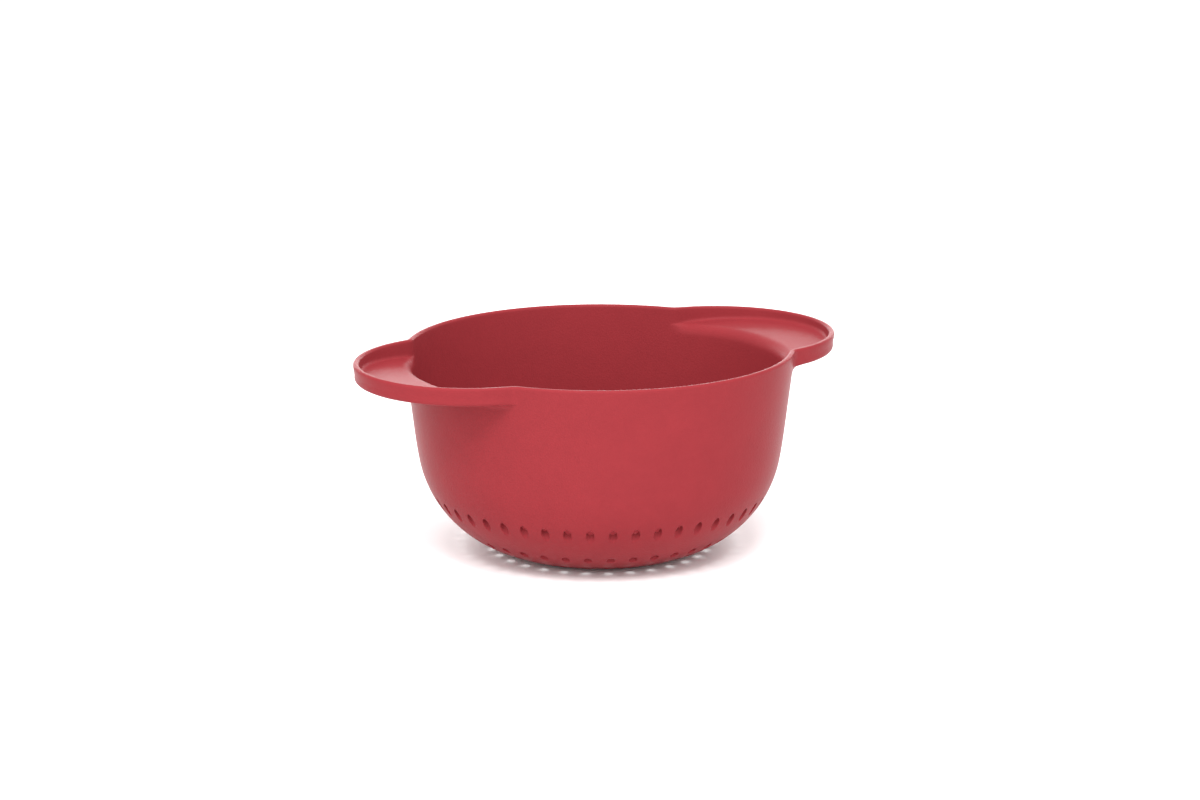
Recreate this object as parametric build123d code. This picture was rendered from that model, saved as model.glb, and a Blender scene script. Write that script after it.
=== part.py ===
from build123d import *
from math import acos, atan2, cos, degrees, hypot, radians, sin, tan
import os

# One-piece moulded plastic colander. Millimetres, +Z up. The origin is the centre of the
# flat base, on the surface it stands on, and the two handles point along +X and -X.

# Bowl
RIM_RADIUS = 120.0           # outside of the bowl at the rim
HEIGHT = 125.5               # base to top of rim
WALL_DRAFT = 6.7             # degrees that the upper wall leans outwards
STRAIGHT_WALL = 52.0         # height of the straight upper wall, below the rim
WALL_CURVE = 285.0           # radius of the slow curve between straight wall and belly
BELLY_DRAFT = 10.2           # degrees from vertical where the belly curve takes over
BELLY_CURVE = 70.7           # radius of the belly
RIM_WIDTH = 3.6              # thickness of the wall at the rim
BELLY_WALL = 2.8             # thickness of the wall round the belly
BASE_WALL = 3.0              # thickness of the flat base

# Handles: an ear-shaped dish on each side, with the rim carried round it
EAR_RADIUS = 72.0            # outside of the ear, seen from above
EAR_OFFSET = 86.6            # bowl axis to the centre of the ear's arc
EAR_HEIGHT = 11.0            # top of rim to underside of the ear
EAR_DRAFT = 5.0              # degrees that the ear's skirt leans outwards
DISH_DRAFT = 6.0             # degrees that the rim's inner wall leans round the dish
DISH_DEPTH_TIP = 6.0         # rim to dish floor at the tip
DISH_DEPTH_BOWL = 8.6        # rim to dish floor where it meets the bowl

# Rounds
RIM_ROUND = 1.6              # both edges of the rim
EAR_UNDER_ROUND = 2.4        # lower outside edge of each ear
EAR_ROOT_ROUND = 6.0         # ear into bowl wall, round its sides and underneath
DISH_MOUTH_ROUND = 7.8       # dish rolling over into the bowl
BASE_ROUND = 6.0             # flat base into belly

# Drain holes: straight round holes through base and belly, all parallel to the bowl's axis.
# Ring k has k times as many holes as the first, at k times its radius.
HOLE_DIAMETER = 5.0
HOLE_RINGS = 6
FIRST_RING_COUNT = 8
FIRST_RING_RADIUS = 17.1
HOLE_ROW_ANGLE = 20.0        # degrees from the handle axis to a row that all rings share

ABOVE = 5.0                  # how far the cutting shapes reach past the rim
PIN_SEAM = 50.0              # degrees that keep a hole's seam line off its highest point
SIDES = (0, 180)             # degrees about the bowl's axis to each handle


def lean(draft, height):
    return height * tan(radians(draft))


# Centre of the belly's arc: from the lower end of the straight wall, in to the centre of
# the slow curve, and back out along the direction where the two curves meet.
WALL_FOOT = (RIM_RADIUS - lean(WALL_DRAFT, STRAIGHT_WALL), HEIGHT - STRAIGHT_WALL)
BELLY_R = (
    WALL_FOOT[0]
    - WALL_CURVE * cos(radians(WALL_DRAFT))
    + (WALL_CURVE - BELLY_CURVE) * cos(radians(BELLY_DRAFT))
)
BELLY_Z = (
    WALL_FOOT[1]
    + WALL_CURVE * sin(radians(WALL_DRAFT))
    - (WALL_CURVE - BELLY_CURVE) * sin(radians(BELLY_DRAFT))
)


def on_belly(radius, z):
    """Distance from the bowl's axis of the belly arc of this radius, at height z."""
    return BELLY_R + (radius**2 - (BELLY_Z - z) ** 2) ** 0.5


def solid_bowl():
    """The outer skin filled in: straight wall, slow curve, belly and flat base."""
    rim = (RIM_RADIUS, HEIGHT)
    wall = Line(rim, WALL_FOOT)
    curve = JernArc(WALL_FOOT, wall % 1, WALL_CURVE, WALL_DRAFT - BELLY_DRAFT)
    base_edge = (on_belly(BELLY_CURVE, 0), 0)
    belly = RadiusArc(curve @ 1, base_edge, BELLY_CURVE)
    closing = Polyline(base_edge, (0, 0), (0, HEIGHT), rim)
    body = revolve(Plane.YZ * make_face([wall, curve, belly, closing]), Axis.Z)
    return fillet(body.edges().group_by(Axis.Z)[0], BASE_ROUND)


# The inner skin is a belly arc with the same centre, and the straight line from the rim
# that touches it.
CAVITY_RIM = RIM_RADIUS - RIM_WIDTH
CAVITY_CURVE = BELLY_CURVE - BELLY_WALL
TO_RIM = (CAVITY_RIM - BELLY_R, HEIGHT - BELLY_Z)
CAVITY_DRAFT = degrees(acos(CAVITY_CURVE / hypot(*TO_RIM)) - atan2(TO_RIM[1], TO_RIM[0]))


def bowl_cavity():
    touch = (
        BELLY_R + CAVITY_CURVE * cos(radians(CAVITY_DRAFT)),
        BELLY_Z - CAVITY_CURVE * sin(radians(CAVITY_DRAFT)),
    )
    top = (CAVITY_RIM + lean(CAVITY_DRAFT, ABOVE), HEIGHT + ABOVE)
    floor_edge = (on_belly(CAVITY_CURVE, BASE_WALL), BASE_WALL)
    wall = Line(top, touch)
    belly = RadiusArc(touch, floor_edge, CAVITY_CURVE)
    closing = Polyline(floor_edge, (0, BASE_WALL), (0, HEIGHT + ABOVE), top)
    return revolve(Plane.YZ * make_face([wall, belly, closing]), Axis.Z)


def ear_blank():
    """One ear as a full disc, wider at the top, with its lower edge rounded."""
    low_radius = EAR_RADIUS - lean(EAR_DRAFT, EAR_HEIGHT)
    disc = Cone(low_radius, EAR_RADIUS, EAR_HEIGHT, align=(Align.CENTER, Align.CENTER, Align.MAX))
    disc = fillet(disc.edges().group_by(Axis.Z)[0], EAR_UNDER_ROUND)
    return Pos(EAR_OFFSET, 0, HEIGHT) * disc


def dish_blank():
    """The space inside one ear's rim, down to the dish floor that slopes towards the bowl."""
    depth = 2 * EAR_HEIGHT
    rim_radius = EAR_RADIUS - RIM_WIDTH
    low_radius = rim_radius - lean(DISH_DRAFT, depth)
    high_radius = rim_radius + lean(DISH_DRAFT, ABOVE)
    disc = Cone(low_radius, high_radius, depth + ABOVE, align=(Align.CENTER, Align.CENTER, Align.MAX))
    disc = Pos(EAR_OFFSET, 0, HEIGHT + ABOVE) * disc
    tip = EAR_OFFSET + rim_radius
    slope = (DISH_DEPTH_BOWL - DISH_DEPTH_TIP) / (tip - RIM_RADIUS)
    floor = Plane((tip, 0, HEIGHT - DISH_DEPTH_TIP), x_dir=(0, 1, 0), z_dir=(-slope, 0, 1))
    return split(disc, floor, keep=Keep.TOP)


def lies_on_wall(edge, rim_radius, draft):
    """True if the edge runs along the straight wall that leans at draft below the rim."""
    for k in range(5):
        point = edge @ ((k + 0.5) / 5)
        wall = rim_radius - lean(draft, HEIGHT - point.Z)
        if abs(hypot(point.X, point.Y) - wall) > 0.15:
            return False
    return True


def joins_ear(edge, rim_radius, draft):
    """True for the edges where an ear's shape runs into the wall, below the cut-off plane."""
    middle = edge @ 0.5
    beside_ear = abs(middle.X) > EAR_RADIUS / 2
    return beside_ear and middle.Z > HEIGHT - 1.5 * EAR_HEIGHT and lies_on_wall(edge, rim_radius, draft)


def outside():
    """Bowl and ears filled in, with a smooth root all round each ear."""
    body = solid_bowl() + [Rot(0, 0, side) * ear_blank() for side in SIDES]
    roots = [
        edge for edge in body.edges()
        if (edge @ 0.5).Z < HEIGHT - 0.1 and joins_ear(edge, RIM_RADIUS, WALL_DRAFT)
    ]
    return fillet(roots, EAR_ROOT_ROUND)


def hollow():
    """Bowl cavity and dish spaces in one, with a smooth mouth between them."""
    space = bowl_cavity() + [Rot(0, 0, side) * dish_blank() for side in SIDES]
    mouths = [
        edge for edge in space.edges()
        if (edge @ 0.5).Z < HEIGHT + ABOVE - 0.1 and joins_ear(edge, CAVITY_RIM, CAVITY_DRAFT)
    ]
    return fillet(mouths, DISH_MOUTH_ROUND)


def drain_pins():
    """One straight pin for each drain hole, long enough to pass through the whole belly."""
    pin = Rot(0, 0, PIN_SEAM) * Cylinder(HOLE_DIAMETER / 2, HEIGHT)
    pins = []
    for ring in range(1, HOLE_RINGS + 1):
        places = PolarLocations(ring * FIRST_RING_RADIUS, ring * FIRST_RING_COUNT, HOLE_ROW_ANGLE)
        pins += [place * pin for place in places]
    return pins


def colander():
    body = outside() - hollow()
    rim_edges = [edge for edge in body.edges() if edge.bounding_box().min.Z > HEIGHT - 0.001]
    body = fillet(rim_edges, RIM_ROUND)
    return body - drain_pins()


os.makedirs("parts", exist_ok=True)
part = colander()
print("inner wall draft", round(CAVITY_DRAFT, 2), "flat base radius", round(on_belly(BELLY_CURVE, 0), 1))
export_step(part, "parts/colander.step")
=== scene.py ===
import math

import bmesh
import bpy
import numpy as np
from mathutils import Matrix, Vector


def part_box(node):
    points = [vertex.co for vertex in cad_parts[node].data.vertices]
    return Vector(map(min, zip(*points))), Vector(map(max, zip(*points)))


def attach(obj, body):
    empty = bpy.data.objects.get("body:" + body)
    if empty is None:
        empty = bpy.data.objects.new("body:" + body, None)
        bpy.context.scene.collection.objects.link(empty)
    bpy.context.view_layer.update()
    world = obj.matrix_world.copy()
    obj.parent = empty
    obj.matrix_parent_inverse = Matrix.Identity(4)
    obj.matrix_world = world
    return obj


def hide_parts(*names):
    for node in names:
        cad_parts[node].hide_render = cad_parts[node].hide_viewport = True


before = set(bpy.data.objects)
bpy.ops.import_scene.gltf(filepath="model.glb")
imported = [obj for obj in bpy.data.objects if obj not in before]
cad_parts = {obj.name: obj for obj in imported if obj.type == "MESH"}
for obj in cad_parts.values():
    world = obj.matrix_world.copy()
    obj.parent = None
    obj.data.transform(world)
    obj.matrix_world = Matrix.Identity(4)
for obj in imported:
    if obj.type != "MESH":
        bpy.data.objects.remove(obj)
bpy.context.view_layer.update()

# ---------------------------------------------------------------------------------------
# The colander. One injection moulding in red polypropylene: a bowl with a flat base, drain
# holes cored straight up through base and belly, and a rim that is carried out round an
# ear-shaped dish on each side. Sizes are in millimetres, and the mesh is made in metres.
# ---------------------------------------------------------------------------------------
cad_low, cad_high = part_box("colander")
HEIGHT = (cad_high.z - cad_low.z) * 1000
EAR_RADIUS = 72.0                    # outside of an ear, seen from above
EAR_OFFSET = 86.6                    # bowl's axis to the centre of an ear's arc
RIM_RADIUS = 120.0
RIM_WIDTH = 3.6
WALL_LEAN = math.tan(math.radians(6.7))     # how far the wall moves in for each mm down, outside
INNER_LEAN = math.tan(math.radians(6.37))   # and inside
BELLY_CENTRE = (41.75, 68.80)        # distance from the axis, and height
OUTER_BELLY, INNER_BELLY = 70.7, 67.9
WALL_CURVE = 285.0                   # slow curve between belly and straight wall
BELLY_TOP, CURVE_TOP = 10.2, 6.7     # degrees from vertical at its two ends
INNER_BELLY_TOP = 6.37               # and where the inner belly meets the inner wall
BASE_WALL, BASE_ROUND = 3.0, 6.0

HOLE_RADIUS, HOLE_EDGE = 2.5, 0.35   # bore, and how far its eased edge reaches
RING_PITCH = 17.1                    # ring k has 8 k holes at k times this radius
HOLES_PER_RING = 8
ROW_TURN = math.radians(20)          # a row that all rings share, from the handle axis
# Each ring's holes sit in one band of cells, cut all round into COLUMNS equal columns.
COLUMNS = 240
CUT = 106.5                          # the pierced bottom ends here and the plain wall starts
BANDS = (                            # inner and outer edge of each band, from the axis
    (8.55, 25.65), (25.65, 42.75), (42.75, 57.3), (59.3, 76.95), (76.95, 94.05), (94.05, CUT)
)
SIDE_STEPS = (4, 4, 5, 6, 6, 7)      # steps along a cell's two radial sides
CELL_SHARES = (1.0, 0.45, 0.12, 0.0)  # rows of a cell, from its edge in to the hole's edge


def skin_height(radius, belly, floor):
    """Height of a skin at a distance from the axis: flat at floor, then an arc of BASE_ROUND that
    starts level and touches the belly from inside, then the belly's own arc, which is
    z = centre - sqrt(belly^2 - (radius - centre)^2)."""
    centre_r, centre_z = BELLY_CENTRE
    round_z = floor + BASE_ROUND
    round_r = centre_r + np.sqrt((belly - BASE_ROUND) ** 2 - (centre_z - round_z) ** 2)
    round_end = centre_r + (round_r - centre_r) * belly / (belly - BASE_ROUND)
    past_flat = np.maximum(radius - round_r, 0)
    in_round = round_z - np.sqrt(np.maximum(BASE_ROUND**2 - past_flat**2, 0))
    in_belly = centre_z - np.sqrt(belly**2 - np.maximum(radius - centre_r, 0) ** 2)
    return np.where(radius < round_r, floor, np.where(radius < round_end, in_round, in_belly))


# Each skin's belly and floor, and whether the wall lies above it, 1, or below it, -1.
SKINS = ((OUTER_BELLY, 0.0, 1), (INNER_BELLY, BASE_WALL, -1))
points, faces = [], []


def add_grid(grid):
    """Adds a grid of points, rows by columns, as quads. The last column joins the first."""
    rows, columns = grid.shape[:2]
    index = sum(map(len, points)) + np.arange(rows * columns).reshape(rows, columns)
    ahead = np.roll(index, -1, 1)
    points.append(grid.reshape(-1, 3))
    quads = np.stack([index[:-1], ahead[:-1], ahead[1:], index[1:]], -1)
    faces.extend(quads.reshape(-1, 4).tolist())


def about_axis(radius, turn, height):
    """Points at these distances from the axis, angles round it, and heights."""
    radius, turn, height = np.broadcast_arrays(radius, turn, height)
    return np.stack([radius * np.cos(turn), radius * np.sin(turn), height], -1)


def cell_edges(inner, outer, first, width, sides):
    """Edge of each cell as one loop of points in plan: from column first along the inner circle
    for width steps, out along a radius in sides steps, back along the outer circle, and in along
    the first radius."""
    along, up = np.arange(width), np.arange(sides) / sides
    column = np.concatenate(
        [first + along, first + width + 0 * up, first + width - along, first + 0 * up], 1
    )
    radius = np.concatenate(
        [
            inner + 0 * along,
            inner + (outer - inner) * up,
            outer + 0 * along,
            outer + (inner - outer) * up,
        ]
    )
    turn = ROW_TURN + column * 2 * np.pi / COLUMNS
    return np.stack([radius * np.cos(turn), radius * np.sin(turn)], -1)


def pierced_cells(edge, middle):
    """Rows of points from each cell's edge on the outer skin, in to its hole, up the bore and out
    over the inner skin. On a skin a row is the mix of cell edge and hole edge by CELL_SHARES. The
    eased edge is a curve round the corner between skin and bore, and reaches as far into the bore
    as it does along the skin."""
    out = edge - middle
    out = out / np.linalg.norm(out, axis=-1, keepdims=True)
    lip_plan, bore_plan = middle + out * (HOLE_RADIUS + HOLE_EDGE), middle + out * HOLE_RADIUS
    halves = []
    for belly, floor, way in SKINS:
        def on_skin(plan):
            height = skin_height(np.hypot(plan[..., 0], plan[..., 1]), belly, floor)
            return np.concatenate([plan, height[..., None]], -1)

        rows = [on_skin(lip_plan + (edge - lip_plan) * share) for share in CELL_SHARES]
        corner = on_skin(bore_plan)
        ease = np.linalg.norm(rows[-1] - corner, axis=-1, keepdims=True)
        in_bore = corner + ease * np.array([0, 0, way])
        halves.append(rows + [(rows[-1] + 2 * corner + in_bore) / 4, in_bore])
    return np.stack(halves[0] + halves[1][::-1], 1)


NUDGE = 1e-9                         # keeps a cell's side that falls on a column on that column
for ring, (band, sides) in enumerate(zip(BANDS, SIDE_STEPS), 1):
    holes = HOLES_PER_RING * ring
    centre = np.arange(holes) * COLUMNS / holes
    first, last = (np.ceil(centre + half * COLUMNS / holes - NUDGE) for half in (-0.5, 0.5))
    turn = ROW_TURN + centre * 2 * np.pi / COLUMNS
    middle = ring * RING_PITCH * np.stack([np.cos(turn), np.sin(turn)], -1)
    for width in np.unique(last - first):
        same = last - first == width
        edge = cell_edges(*band, first[same][:, None], int(width), sides)
        for cell in pierced_cells(edge, middle[same][:, None]):
            add_grid(cell)

# Between the cells both skins are plain: in the middle of the base, and over the base's round.
plain_turns = ROW_TURN + np.arange(COLUMNS) * 2 * np.pi / COLUMNS
MIDDLE_RADII = np.array([0.0, 4.3, BANDS[0][0]])
ROUND_RADII = np.linspace(BANDS[2][1], BANDS[3][0], 5)
for belly, floor, _ in SKINS:
    for plain in (MIDDLE_RADII, ROUND_RADII):
        add_grid(about_axis(plain[:, None], plain_turns, skin_height(plain[:, None], belly, floor)))

# Above SHELF the wall, rim and ears have twice the columns, and these stand closer together at the
# four necks, where ear and bowl meet. Below it the columns move over to even spacing.
SHELF = 100.0
EVEN_BELOW = 50.0
NECK_TURN, NECK_SPREAD, NECK_CROWD = math.radians(36.5), math.radians(5), 2.0
FINE_STEPS = 7200                    # steps round the circle in which their density is summed
even_turns = ROW_TURN + np.arange(2 * COLUMNS) * np.pi / COLUMNS


def crowded(turns):
    """The angles moved so that the columns' spacing divides by
    1 + NECK_CROWD exp(-(angle from a neck / NECK_SPREAD)^2): the summed density gives each
    angle's share of the circle, read backwards."""
    fine = np.linspace(0, 2 * np.pi, FINE_STEPS + 1)
    from_axis = np.arccos(np.clip(np.abs(np.cos(fine)), 0, 1))
    density = 1 + NECK_CROWD * np.exp(-(((from_axis - NECK_TURN) / NECK_SPREAD) ** 2))
    share = np.concatenate([[0], np.cumsum(density[1:] + density[:-1])])
    moved = np.interp(turns % (2 * np.pi), share / share[-1] * 2 * np.pi, fine)
    return turns + (moved - turns + np.pi) % (2 * np.pi) - np.pi


turns = crowded(even_turns)


def arc_points(radius, start, end, steps, centre):
    """Distances from the axis and heights along an arc, between two angles below the horizontal,
    in degrees: centre + radius cos(angle), and centre - radius sin(angle)."""
    angle = np.radians(np.linspace(start, end, steps + 1))
    return np.stack([centre[0] + radius * np.cos(angle), centre[1] - radius * np.sin(angle)], -1)


def straight_points(start, end, steps):
    """Points at equal steps from start to end."""
    share = np.linspace(0, 1, steps + 1).reshape(-1, *[1] * np.ndim(start))
    return np.asarray(start) + (np.asarray(end) - start) * share


def add_wall(profile):
    """A profile carried round the axis, up to its last point, where each column step becomes two: a
    triangle up from the step, and one each side of its point. From EVEN_BELOW up to SHELF a point
    moves from its even angle to its crowded one by 3 share^2 - 2 share^3."""
    share = np.clip((profile[:, 1:] - EVEN_BELOW) / (SHELF - EVEN_BELOW), 0, 1)
    turn = even_turns + (turns - even_turns) * share**2 * (3 - 2 * share)
    grid = about_axis(profile[:, :1], turn, profile[:, 1:])
    add_grid(grid[:-1, ::2])
    low = sum(map(len, points)) + np.arange(COLUMNS)
    high = low[0] + COLUMNS + 2 * np.arange(COLUMNS)
    next_low, next_high = np.roll(low, -1), np.roll(high, -1)
    points.append(np.concatenate([grid[-2, ::2], grid[-1]]))
    middle = high + 1
    for triangle in ((low, middle, high), (low, next_low, middle), (next_low, next_high, middle)):
        faces.extend(np.stack(triangle, -1).tolist())


def below_horizontal(belly):
    """Angle at which the belly's arc passes the cut radius, in degrees."""
    return math.degrees(math.acos((CUT - BELLY_CENTRE[0]) / belly))


BELLY_STEPS, CURVE_STEPS = 5, 4      # rows of the mesh up the belly and the slow curve
OUTER_STEPS, INNER_STEPS = 4, 5      # and up the straight wall, outside and inside
outer_belly = arc_points(
    OUTER_BELLY, below_horizontal(OUTER_BELLY), BELLY_TOP, BELLY_STEPS, BELLY_CENTRE
)
slow_centre = outer_belly[-1] + WALL_CURVE * np.array(
    [-math.cos(math.radians(BELLY_TOP)), math.sin(math.radians(BELLY_TOP))]
)
slow_curve = arc_points(WALL_CURVE, BELLY_TOP, CURVE_TOP, CURVE_STEPS, slow_centre)
outer_shelf = (RIM_RADIUS - (HEIGHT - SHELF) * WALL_LEAN, SHELF)
outer_wall = straight_points(slow_curve[-1], outer_shelf, OUTER_STEPS)
add_wall(np.concatenate([outer_belly, slow_curve[1:], outer_wall[1:]]))
inner_belly = arc_points(
    INNER_BELLY, below_horizontal(INNER_BELLY), INNER_BELLY_TOP, BELLY_STEPS, BELLY_CENTRE
)
inner_shelf = (RIM_RADIUS - RIM_WIDTH - (HEIGHT - SHELF) * INNER_LEAN, SHELF)
inner_wall = straight_points(inner_belly[-1], inner_shelf, INNER_STEPS)
add_wall(np.concatenate([inner_belly, inner_wall[1:]]))

# Rim and ears. Every column is a section through the rim: over its top and down the outside, by
# the ear's skirt, underside and root to the wall, and down the inside, by the dish's lip, floor and
# mouth. Where the ear runs out at a neck its section shrinks to the plain wall.
EAR_HEIGHT = 11.0                    # top of the rim to the underside of an ear
SKIRT_LEAN, LIP_LEAN = math.tan(math.radians(5)), math.tan(math.radians(6))
NECK_ROUND = 8.0                     # rim's outside, seen from above, where ear and bowl meet
FLOOR_DEPTH, FLOOR_SLOPE = 6.0, 2.6 / 35   # rim to dish floor at the tip, and its fall to the bowl
RIM_ROUND = 1.6
UNDER_REACH, ROOT_REACH = 2.2, 5.3   # how far each round reaches from its corner: under the
FOOT_REACH, MOUTH_REACH = 2.3, 6.7   # skirt, at the root, at the lip's foot, at the mouth
# The rim stands proud as a band round the ear: how deep, by how much, and how softly it steps.
BAND_DEPTH, BAND_STEP, BAND_SOFT = 4.0, 0.2, 0.9
RIM_STEPS, TIGHT_STEPS, WIDE_STEPS = 6, 12, 16   # points worked out along each kind of round
SKIRT_STEPS, LIP_STEPS, PLAIN_STEPS = 24, 8, 12  # and along the skirt, the lip and the rest
SECTION_ROWS, ROW_LENGTH = 29, 3.2   # rows of the mesh, and how long a row counts on a straight


def lobed(turn, bowl, ear, neck):
    """Distance from the axis of an outline: a circle of radius bowl about the axis, a circle of
    radius ear about each ear's centre, and an arc of radius neck that touches both from outside.
    Seen from the axis, a circle whose centre is d away at angle a is at d cos(turn - a), plus or
    minus sqrt(radius^2 - d^2 sin^2(turn - a))."""
    turn = np.arccos(np.clip(np.abs(np.cos(turn)), 0, 1))
    away, across = bowl + neck, ear + neck
    side = math.acos((away**2 + EAR_OFFSET**2 - across**2) / (2 * away * EAR_OFFSET))
    touch_x = EAR_OFFSET + (away * math.cos(side) - EAR_OFFSET) * ear / across
    touch_y = away * math.sin(side) * ear / across
    half_chord = np.sqrt(np.maximum(ear**2 - (EAR_OFFSET * np.sin(turn)) ** 2, 0))
    on_ear = EAR_OFFSET * np.cos(turn) + half_chord
    root = np.sqrt(np.maximum(neck**2 - (away * np.sin(turn - side)) ** 2, 0))
    on_neck = away * np.cos(turn - side) - root
    touch = math.atan2(touch_y, touch_x)
    return np.where(turn < touch, on_ear, np.where(turn < side, on_neck, bowl))


def section(radius, height):
    """A point of every column's section, as distance from the axis and height."""
    return np.stack(np.broadcast_arrays(radius + 0 * turns, height + 0 * turns), -1)


def towards(start, end):
    """Unit directions from start to end."""
    step = end - start
    return step / np.linalg.norm(step, axis=-1, keepdims=True)


def rounded(corner, before, after, reach_before, reach_after, steps):
    """A corner rounded by a conic, from reach_before along one side to reach_after along the other:
    (start (1 - t)^2 + corner 2 t (1 - t) weight + end t^2), divided by the same sum without the
    points. The weight is the sine of half the corner's angle, which makes it a true arc where both
    reaches are the same."""
    share = np.linspace(0, 1, steps + 1)[:, None, None]
    start = corner + before * np.reshape(reach_before, (-1, 1))
    end = corner + after * np.reshape(reach_after, (-1, 1))
    weight = np.sqrt((1 - (before * after).sum(-1, keepdims=True)) / 2)
    parts = (1 - share) ** 2, 2 * share * (1 - share) * weight, share**2
    return (parts[0] * start + parts[1] * corner + parts[2] * end) / sum(parts)


def add_section(pieces, extra):
    """Joins the pieces of a section and carries it round. Its rows share out each piece's length,
    in units of ROW_LENGTH, plus its extra, so that rounds get more rows than straights."""
    path = np.concatenate([pieces[0], *[piece[1:] for piece in pieces[1:]]])
    weight = np.concatenate(
        [
            np.linalg.norm(np.diff(piece, axis=0), axis=-1) / ROW_LENGTH + more / (len(piece) - 1)
            for piece, more in zip(pieces, extra)
        ]
    )
    total = np.concatenate([0 * weight[:1], np.cumsum(weight, 0)]) / weight.sum(0)
    share = np.linspace(0, 1, SECTION_ROWS)[:, None]
    step = np.clip((share[:, None] >= total[None]).sum(1) - 1, 0, len(path) - 2)
    low, high = (np.take_along_axis(total, step + up, 0) for up in (0, 1))
    start, end = (np.take_along_axis(path, (step + up)[..., None], 0) for up in (0, 1))
    placed = start + (end - start) * np.clip((share - low) / (high - low), 0, 1)[..., None]
    add_grid(about_axis(placed[..., 0], turns, placed[..., 1]))


def add_rim_half(edge, inwards, wall):
    """Half the rim's top, from its middle line over the round at this edge."""
    over = rounded(edge, inwards, wall, RIM_ROUND, RIM_ROUND, RIM_STEPS)
    rows = np.concatenate([rim_middle[None], over])
    add_grid(about_axis(rows[..., 0], turns, rows[..., 1]))
    return over[-1]


inward, outward = section(-1, 0), section(1, 0)
outer_rim = lobed(turns, RIM_RADIUS, EAR_RADIUS, NECK_ROUND)
inner_rim = lobed(turns, RIM_RADIUS - RIM_WIDTH, EAR_RADIUS - RIM_WIDTH, NECK_ROUND + RIM_WIDTH)
rim_middle = section((outer_rim + inner_rim) / 2, HEIGHT)

root_radius = RIM_RADIUS - EAR_HEIGHT * WALL_LEAN
skirt_taper = EAR_HEIGHT * SKIRT_LEAN
skirt_radius = lobed(turns, root_radius, EAR_RADIUS - skirt_taper, NECK_ROUND + skirt_taper)
outer_edge, shelf_out = section(outer_rim, HEIGHT), section(*outer_shelf)
skirt_foot = section(skirt_radius, HEIGHT - EAR_HEIGHT)
ear_root = section(root_radius, HEIGHT - EAR_HEIGHT)
overhang = (skirt_radius - root_radius) / (UNDER_REACH + ROOT_REACH)
share = np.clip(overhang, 0, 1)
up_skirt, down_wall = towards(skirt_foot, outer_edge), towards(ear_root, shelf_out)
under_round = rounded(skirt_foot, up_skirt, inward, UNDER_REACH, UNDER_REACH * share, TIGHT_STEPS)
root_round = rounded(ear_root, outward, down_wall, ROOT_REACH * share, ROOT_REACH, WIDE_STEPS)
skirt_top = add_rim_half(outer_edge, inward, towards(outer_edge, skirt_foot))
skirt = straight_points(skirt_top, under_round[0], SKIRT_STEPS)
below_band = np.clip((HEIGHT - skirt[..., 1] - BAND_DEPTH) / BAND_SOFT + 0.5, 0, 1)
above_round = np.clip((skirt[..., 1] - skirt[-1, :, 1]) / (2 * BAND_SOFT), 0, 1)
skirt[..., 0] -= (
    BAND_STEP
    * share
    * below_band**2
    * (3 - 2 * below_band)
    * above_round**2
    * (3 - 2 * above_round)
)
add_section(
    [
        skirt,
        under_round,
        straight_points(under_round[-1], root_round[0], PLAIN_STEPS),
        root_round,
        straight_points(root_round[-1], shelf_out, PLAIN_STEPS),
    ],
    [2 * share, 5 * share, 0 * share, 6 * share, 0 * share],
)

# The dish floor is a plane that falls towards the bowl, so each line down a wall meets it where its
# own depth is the floor's: depth = tip depth + slope (tip - radius cos turn), and
# radius = rim + lean depth.
floor_fall = FLOOR_SLOPE * np.abs(np.cos(turns))
tip = EAR_OFFSET + EAR_RADIUS - RIM_WIDTH
PROBE = 10.0                         # depth at which the lip's lean is read, along each column
probe_rim = lobed(
    turns,
    RIM_RADIUS - RIM_WIDTH - PROBE * INNER_LEAN,
    EAR_RADIUS - RIM_WIDTH - PROBE * LIP_LEAN,
    NECK_ROUND + RIM_WIDTH + PROBE * LIP_LEAN,
)


def meets_floor(rim, lean):
    """Where a wall that starts at rim, and moves out by lean for each mm down, meets the dish
    floor, by the equations above."""
    depth = (FLOOR_DEPTH + FLOOR_SLOPE * tip - floor_fall * rim) / (1 + floor_fall * lean)
    return section(rim + lean * depth, HEIGHT - depth)


lip_foot = meets_floor(inner_rim, (probe_rim - inner_rim) / PROBE)
mouth = meets_floor(RIM_RADIUS - RIM_WIDTH, -INNER_LEAN)
inner_edge, shelf_in = section(inner_rim, HEIGHT), section(*inner_shelf)
share = np.clip((lip_foot[:, 0] - mouth[:, 0]) / (FOOT_REACH + MOUTH_REACH), 0, 1)
down_floor = towards(section(0, 0), section(-1, -floor_fall))
up_lip, down_wall = towards(lip_foot, inner_edge), towards(mouth, shelf_in)
foot_round = rounded(lip_foot, up_lip, down_floor, FOOT_REACH, FOOT_REACH * share, TIGHT_STEPS)
mouth_round = rounded(mouth, -down_floor, down_wall, MOUTH_REACH * share, MOUTH_REACH, WIDE_STEPS)
lip_top = add_rim_half(inner_edge, outward, towards(inner_edge, lip_foot))
add_section(
    [
        straight_points(lip_top, foot_round[0], LIP_STEPS),
        foot_round,
        straight_points(foot_round[-1], mouth_round[0], PLAIN_STEPS),
        mouth_round,
        straight_points(mouth_round[-1], shelf_in, PLAIN_STEPS),
    ],
    [0 * share, 6 * share, 0 * share, 7 * share, 0 * share],
)

# All the grids meet point on point, so joining the doubles closes the shell.
SAME_POINT = 2e-6                    # metres
moulding = bpy.data.meshes.new("colander_moulding")
moulding.from_pydata((np.concatenate(points) / 1000).tolist(), [], faces)
joined = bmesh.new()
joined.from_mesh(moulding)
bmesh.ops.remove_doubles(joined, verts=joined.verts, dist=SAME_POINT)
bmesh.ops.recalc_face_normals(joined, faces=joined.faces)
open_edges = sum(len(edge.link_faces) != 2 for edge in joined.edges)
if open_edges:
    raise ValueError(f"the moulding has {open_edges} open edges")
joined.to_mesh(moulding)
joined.free()
moulding.shade_smooth()


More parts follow.
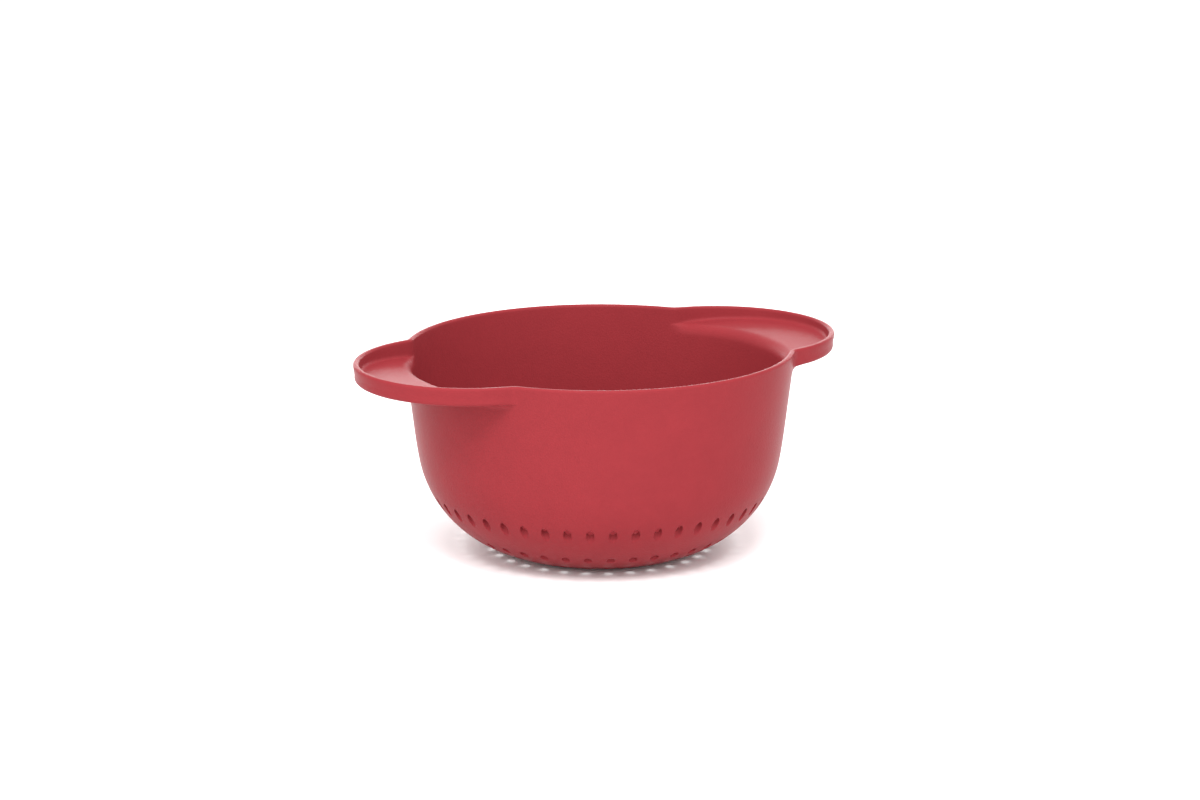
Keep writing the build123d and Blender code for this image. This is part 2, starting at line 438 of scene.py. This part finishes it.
def from_hex(colour):
    """Linear colour of an sRGB hex value: c / 12.92 up to 0.04045, and above that
    ((c + 0.055) / 1.055) ^ 2.4."""
    srgb = np.array([int(colour[i : i + 2], 16) for i in (1, 3, 5)]) / 255
    return (*np.where(srgb <= 0.04045, srgb / 12.92, ((srgb + 0.055) / 1.055) ** 2.4), 1)


def add_node(tree, kind, sockets={}, links={}, **settings):
    """Adds a node, gives it its settings and socket values, and links each named socket to a source
    socket."""
    node = tree.nodes.new(kind)
    for name, value in settings.items():
        setattr(node, name, value)
    for name, value in sockets.items():
        node.inputs[name].default_value = value
    for name, source in links.items():
        tree.links.new(source, node.inputs[name])
    return node


# Polypropylene coloured through and moulded against a finely spark-eroded tool, which leaves an
# even, dull red with weak highlights.
RED, DEEP_RED = "#8A2E33", "#7C292E"
SATIN, SATIN_WORN = 0.33, 0.38
POLYPROPYLENE_IOR = 1.49
# Matched to this moulding's dull edges. A smooth one would have 0.5.
REFLECTANCE_LEVEL = 0.035
# In mm. A real grain is taken to be near 0.1 across, which would not show, so this one is drawn
# both coarser and deeper.
GRAIN, GRAIN_RELIEF = 1.3, 0.14
CLOUD = 28.0                         # mm across the clouds where pigment and gloss differ a little


def moulded_polypropylene():
    """Satin red plastic: pigment that clouds slightly where the melt flowed, gloss that varies with
    it, and a fine grain that breaks up highlights and gives the walls a soft, faintly speckled
    look."""
    material = bpy.data.materials.new("moulded_polypropylene")
    material.use_nodes = True
    tree = material.node_tree
    shader = tree.nodes["Principled BSDF"]
    shader.inputs["Specular IOR Level"].default_value = REFLECTANCE_LEVEL
    shader.inputs["IOR"].default_value = POLYPROPYLENE_IOR
    place = add_node(tree, "ShaderNodeTexCoord").outputs["Object"]
    cloud = add_node(
        tree,
        "ShaderNodeTexNoise",
        {"Scale": 1000 / CLOUD, "Detail": 6.0, "Roughness": 0.8},
        {"Vector": place},
    ).outputs["Fac"]
    grain = add_node(
        tree,
        "ShaderNodeTexNoise",
        {"Scale": 1000 / GRAIN, "Detail": 2.0, "Roughness": 0.6},
        {"Vector": place},
    ).outputs["Fac"]
    pigment = add_node(
        tree,
        "ShaderNodeMixRGB",
        {"Color1": from_hex(DEEP_RED), "Color2": from_hex(RED)},
        {"Fac": cloud},
    ).outputs["Color"]
    gloss = add_node(
        tree, "ShaderNodeMapRange", {"To Min": SATIN, "To Max": SATIN_WORN}, {"Value": cloud}
    ).outputs["Result"]
    relief = add_node(
        tree,
        "ShaderNodeBump",
        {"Strength": 1.0, "Distance": GRAIN_RELIEF / 1000},
        {"Height": grain},
    ).outputs["Normal"]
    tree.links.new(pigment, shader.inputs["Base Color"])
    tree.links.new(gloss, shader.inputs["Roughness"])
    tree.links.new(relief, shader.inputs["Normal"])
    return material


colander = bpy.data.objects.new("colander_moulding", moulding)
bpy.context.scene.collection.objects.link(colander)
moulding.materials.append(moulded_polypropylene())
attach(colander, "root")
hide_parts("colander")

# ---------------------------------------------------------------------------------------
# The floor. A white laminate worktop under the colander, wide enough to fill the view: a
# melamine-faced board with a matt, very slightly uneven surface.
# ---------------------------------------------------------------------------------------
FLOOR_REACH = 6.0                    # metres from the middle to each edge
LAMINATE, LAMINATE_DULL = "#FAFAFA", "#F8F8F8"
LAMINATE_GLOSS, LAMINATE_WORN = 0.58, 0.64
LAMINATE_IOR = 1.5
MOTTLE = 60.0                        # mm across the laminate's faint mottling


def white_laminate():
    """Matt white melamine: nearly even, with a faint mottling in shade and gloss."""
    material = bpy.data.materials.new("white_laminate")
    material.use_nodes = True
    tree = material.node_tree
    shader = tree.nodes["Principled BSDF"]
    shader.inputs["IOR"].default_value = LAMINATE_IOR
    place = add_node(tree, "ShaderNodeTexCoord").outputs["Object"]
    mottle = add_node(
        tree, "ShaderNodeTexNoise", {"Scale": 1000 / MOTTLE, "Detail": 2.0}, {"Vector": place}
    ).outputs["Fac"]
    shade = add_node(
        tree,
        "ShaderNodeMixRGB",
        {"Color1": from_hex(LAMINATE_DULL), "Color2": from_hex(LAMINATE)},
        {"Fac": mottle},
    )
    gloss = add_node(
        tree,
        "ShaderNodeMapRange",
        {"To Min": LAMINATE_GLOSS, "To Max": LAMINATE_WORN},
        {"Value": mottle},
    )
    tree.links.new(shade.outputs["Color"], shader.inputs["Base Color"])
    tree.links.new(gloss.outputs["Result"], shader.inputs["Roughness"])
    return material


floor_mesh = bpy.data.meshes.new("floor")
corners = [(x * FLOOR_REACH, y * FLOOR_REACH, 0) for x, y in ((-1, -1), (1, -1), (1, 1), (-1, 1))]
floor_mesh.from_pydata(corners, [], [(0, 1, 2, 3)])
floor_mesh.materials.append(white_laminate())
floor = bpy.data.objects.new("floor", floor_mesh)
bpy.context.scene.collection.objects.link(floor)

# ---------------------------------------------------------------------------------------
# The light. A bright white room, three softboxes on the camera's side for the wall and the
# inside, a wide low one behind for the floor and the dishes, and a weak one overhead.
# ---------------------------------------------------------------------------------------
ROOM_STRENGTH = 1.08
BOWL_MIDDLE = Vector((0, 0, 0.07))   # all softboxes point here
# Level directions of length one, towards the camera and to its right.
TO_CAMERA = Vector((-0.4924, -0.8704, 0))
TO_RIGHT = Vector((0.8704, -0.4924, 0))

room = bpy.data.worlds.new("room")
room.use_nodes = True
room.node_tree.nodes["Background"].inputs["Color"].default_value = (1, 1, 1, 1)
room.node_tree.nodes["Background"].inputs["Strength"].default_value = ROOM_STRENGTH
bpy.context.scene.world = room


def softbox(name, turn, distance, height, size, watts):
    """A softbox pointed at the bowl. Its turn, in degrees, is from the camera's side to the right,
    and its distance from the bowl's axis, height and size are in metres."""
    data = bpy.data.lights.new(name, "AREA")
    data.shape = "RECTANGLE"
    data.size, data.size_y = size
    data.energy = watts
    lamp = bpy.data.objects.new(name, data)
    turn = math.radians(turn)
    away = distance * (math.cos(turn) * TO_CAMERA + math.sin(turn) * TO_RIGHT)
    lamp.location = away + Vector((0, 0, height))
    lamp.rotation_euler = (BOWL_MIDDLE - lamp.location).to_track_quat("-Z", "Y").to_euler()
    bpy.context.scene.collection.objects.link(lamp)


softbox("front_high", 0, 0.9, 1.2, (0.8, 0.5), 16.5)
softbox("left_front", -50, 1.5, 0.9, (1.0, 1.0), 7)
softbox("right_front", 50, 1.5, 0.9, (1.0, 1.0), 5)
softbox("back_low", 180, 1.5, 0.35, (2.0, 0.5), 13)
softbox("overhead", 0, 0.0, 1.3, (0.6, 0.6), 5)

# ---------------------------------------------------------------------------------------
# The camera. A long lens 1.7 m from the bowl that looks 14 degrees down on it, turned so that the
# left handle is nearer than the right.
# ---------------------------------------------------------------------------------------
SENSOR_WIDTH, FOCAL_LENGTH = 36.0, 84.6   # mm
SIGHT_LIMIT = 20.0                        # metres, as is the camera's place
CAMERA_PLACE = Vector((-0.8293, -1.4666, 0.5114))
CAMERA_AIM = Vector((0.4777, 0.8444, -0.2424))
camera_data = bpy.data.cameras.new("camera")
camera_data.sensor_width = SENSOR_WIDTH
camera_data.lens = FOCAL_LENGTH
camera_data.clip_end = SIGHT_LIMIT
camera = bpy.data.objects.new("camera", camera_data)
camera.location = CAMERA_PLACE
camera.rotation_euler = CAMERA_AIM.to_track_quat("-Z", "Y").to_euler()
bpy.context.scene.collection.objects.link(camera)
bpy.context.scene.camera = camera
bpy.context.scene.view_settings.view_transform = "Standard"
